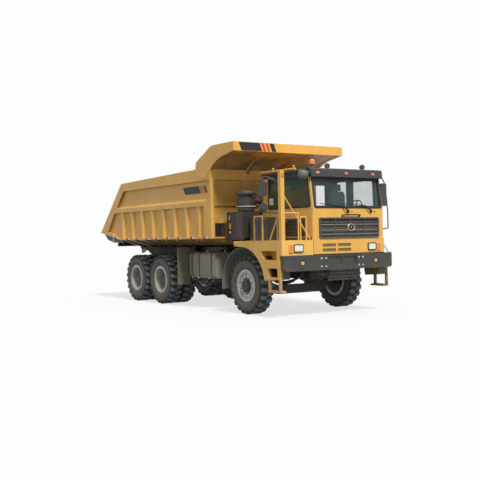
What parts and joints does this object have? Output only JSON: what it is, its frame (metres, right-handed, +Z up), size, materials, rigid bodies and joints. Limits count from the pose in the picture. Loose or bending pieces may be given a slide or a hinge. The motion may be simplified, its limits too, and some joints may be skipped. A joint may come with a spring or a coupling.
{
  "type": "mining dump truck",
  "caption": "Rigid three-axle mining dump truck with tipping rock body, canopy over the cab, telescopic hoist, steered front axle and rolling wheels.",
  "frame": {"origin": "on the ground, in the truck's middle plane, half way along the overall length", "axes": "+X forward to the bumper, +Y to the truck's left, +Z up"},
  "size_m": [9.62, 3.5999, 4.0699],
  "materials": {
    "yellow_paint": "gloss, dusty",
    "black_frame": "satin",
    "grey_paint": "satin",
    "cast_black": "rough",
    "spring_steel": "satin",
    "grille_plastic": "matte",
    "window_glass": "clear",
    "trim": "matte",
    "tank_paint": "satin",
    "mudguard_rubber": "matte",
    "lamp_clear": "clear",
    "lamp_amber": "gloss",
    "lamp_red": "gloss",
    "mirror_plastic": "matte",
    "rim_steel": "satin",
    "tyre_rubber": "matte",
    "hard_chrome": "polished"
  },
  "bodies": {
    "chassis": {"frame": "black_frame", "frame_brackets": "black_frame", "front_axle": "cast_black", "leaf_springs": "spring_steel", "rear_axles": "cast_black", "powertrain": "cast_black", "bumper": "grey_paint", "platform": "yellow_paint", "step_wings": "yellow_paint", "platform_rails": "yellow_paint", "cab_floor": "black_frame", "cab_shell": "yellow_paint", "cab_roof": "yellow_paint", "grille": "grille_plastic", "visor": "grey_paint", "cab_glass": "window_glass", "cab_interior": "trim", "air_cleaner": "black_frame", "cabinet": "black_frame", "tanks": "tank_paint", "mudguards": "mudguard_rubber", "white_lamps": "lamp_clear", "amber_lamps": "lamp_amber", "mirrors": "mirror_plastic", "skid_plate": "black_frame"},
    "left_door": {"door_panel": "yellow_paint", "door_glass": "window_glass"},
    "knuckle_right": {"knuckle_right": "cast_black"},
    "knuckle_left": {"knuckle_left": "cast_black"},
    "tie_rod": {"tie_rod": "cast_black"},
    "front_right_wheel": {"front_right_rim": "rim_steel", "front_right_tyre": "tyre_rubber"},
    "front_left_wheel": {"front_left_rim": "rim_steel", "front_left_tyre": "tyre_rubber"},
    "mid_right_wheels": {"mid_right_rims": "rim_steel", "mid_right_tyres": "tyre_rubber"},
    "mid_left_wheels": {"mid_left_rims": "rim_steel", "mid_left_tyres": "tyre_rubber"},
    "rear_right_wheels": {"rear_right_rims": "rim_steel", "rear_right_tyres": "tyre_rubber"},
    "rear_left_wheels": {"rear_left_rims": "rim_steel", "rear_left_tyres": "tyre_rubber"},
    "dump_body": {"body_floor": "yellow_paint", "body_sides": "yellow_paint", "body_front_wall": "yellow_paint", "body_canopy": "yellow_paint", "tail_lamps": "lamp_red"},
    "hoist_barrels": {"hoist_barrels": "black_frame"},
    "hoist_sleeves": {"hoist_sleeves": "hard_chrome"},
    "hoist_rods": {"hoist_rods": "hard_chrome"}
  },
  "joints": [
    {"name": "steer_right", "type": "hinge", "parent": "chassis", "child": "knuckle_right", "pos_m": [3.155, -1.08, 0.672], "axis": [0, 0, 1], "range_deg": [-30, 30]},
    {"name": "steer_left", "type": "hinge", "parent": "chassis", "child": "knuckle_left", "pos_m": [3.155, 1.08, 0.672], "axis": [0, 0, 1], "range_deg": [-30, 30]},
    {"name": "tie_rod_pivot", "type": "hinge", "parent": "knuckle_right", "child": "tie_rod", "pos_m": [2.865, -1.08, 0.517], "axis": [0, 0, 1], "range_deg": [-30, 30]},
    {"name": "front_right_roll", "type": "hinge", "parent": "knuckle_right", "child": "front_right_wheel", "pos_m": [3.155, -1.34, 0.672], "axis": [0, 1, 0], "continuous": true},
    {"name": "front_left_roll", "type": "hinge", "parent": "knuckle_left", "child": "front_left_wheel", "pos_m": [3.155, 1.34, 0.672], "axis": [0, 1, 0], "continuous": true},
    {"name": "mid_right_roll", "type": "hinge", "parent": "chassis", "child": "mid_right_wheels", "pos_m": [-1.065, -1.1475, 0.672], "axis": [0, 1, 0], "continuous": true},
    {"name": "mid_left_roll", "type": "hinge", "parent": "chassis", "child": "mid_left_wheels", "pos_m": [-1.065, 1.1475, 0.672], "axis": [0, 1, 0], "continuous": true},
    {"name": "rear_right_roll", "type": "hinge", "parent": "chassis", "child": "rear_right_wheels", "pos_m": [-2.575, -1.1475, 0.672], "axis": [0, 1, 0], "continuous": true},
    {"name": "rear_left_roll", "type": "hinge", "parent": "chassis", "child": "rear_left_wheels", "pos_m": [-2.575, 1.1475, 0.672], "axis": [0, 1, 0], "continuous": true},
    {"name": "body_tilt", "type": "hinge", "parent": "chassis", "child": "dump_body", "pos_m": [-2.995, 0, 1.42], "axis": [0, -1, 0], "range_deg": [0, 45]},
    {"name": "hoist_swing", "type": "hinge", "parent": "chassis", "child": "hoist_barrels", "pos_m": [-0.295, 0, 0.62], "axis": [0, -1, 0], "range_deg": [0, 54.28]},
    {"name": "hoist_sleeve_slide", "type": "slide", "parent": "hoist_barrels", "child": "hoist_sleeves", "axis": [0.8177, 0, 0.5757], "range_m": [0, 1.06058]},
    {"name": "hoist_rod_slide", "type": "slide", "parent": "hoist_sleeves", "child": "hoist_rods", "axis": [0.8177, 0, 0.5757], "range_m": [0, 1.06058]},
    {"name": "door_swing", "type": "hinge", "parent": "chassis", "child": "left_door", "pos_m": [4.515, 1.436, 2.5], "axis": [0, 0, -1], "range_deg": [0, 65]}
  ],
  "couplings": [
    {"joint": "steer_left", "follows": "steer_right", "ratio": 1},
    {"joint": "tie_rod_pivot", "follows": "steer_right", "ratio": -1},
    {"joint": "hoist_swing", "follows": "body_tilt", "ratio": 1.2063},
    {"joint": "hoist_sleeve_slide", "follows": "body_tilt", "m_per_rad": 1.3504},
    {"joint": "hoist_rod_slide", "follows": "body_tilt", "m_per_rad": 1.3504}
  ]
}
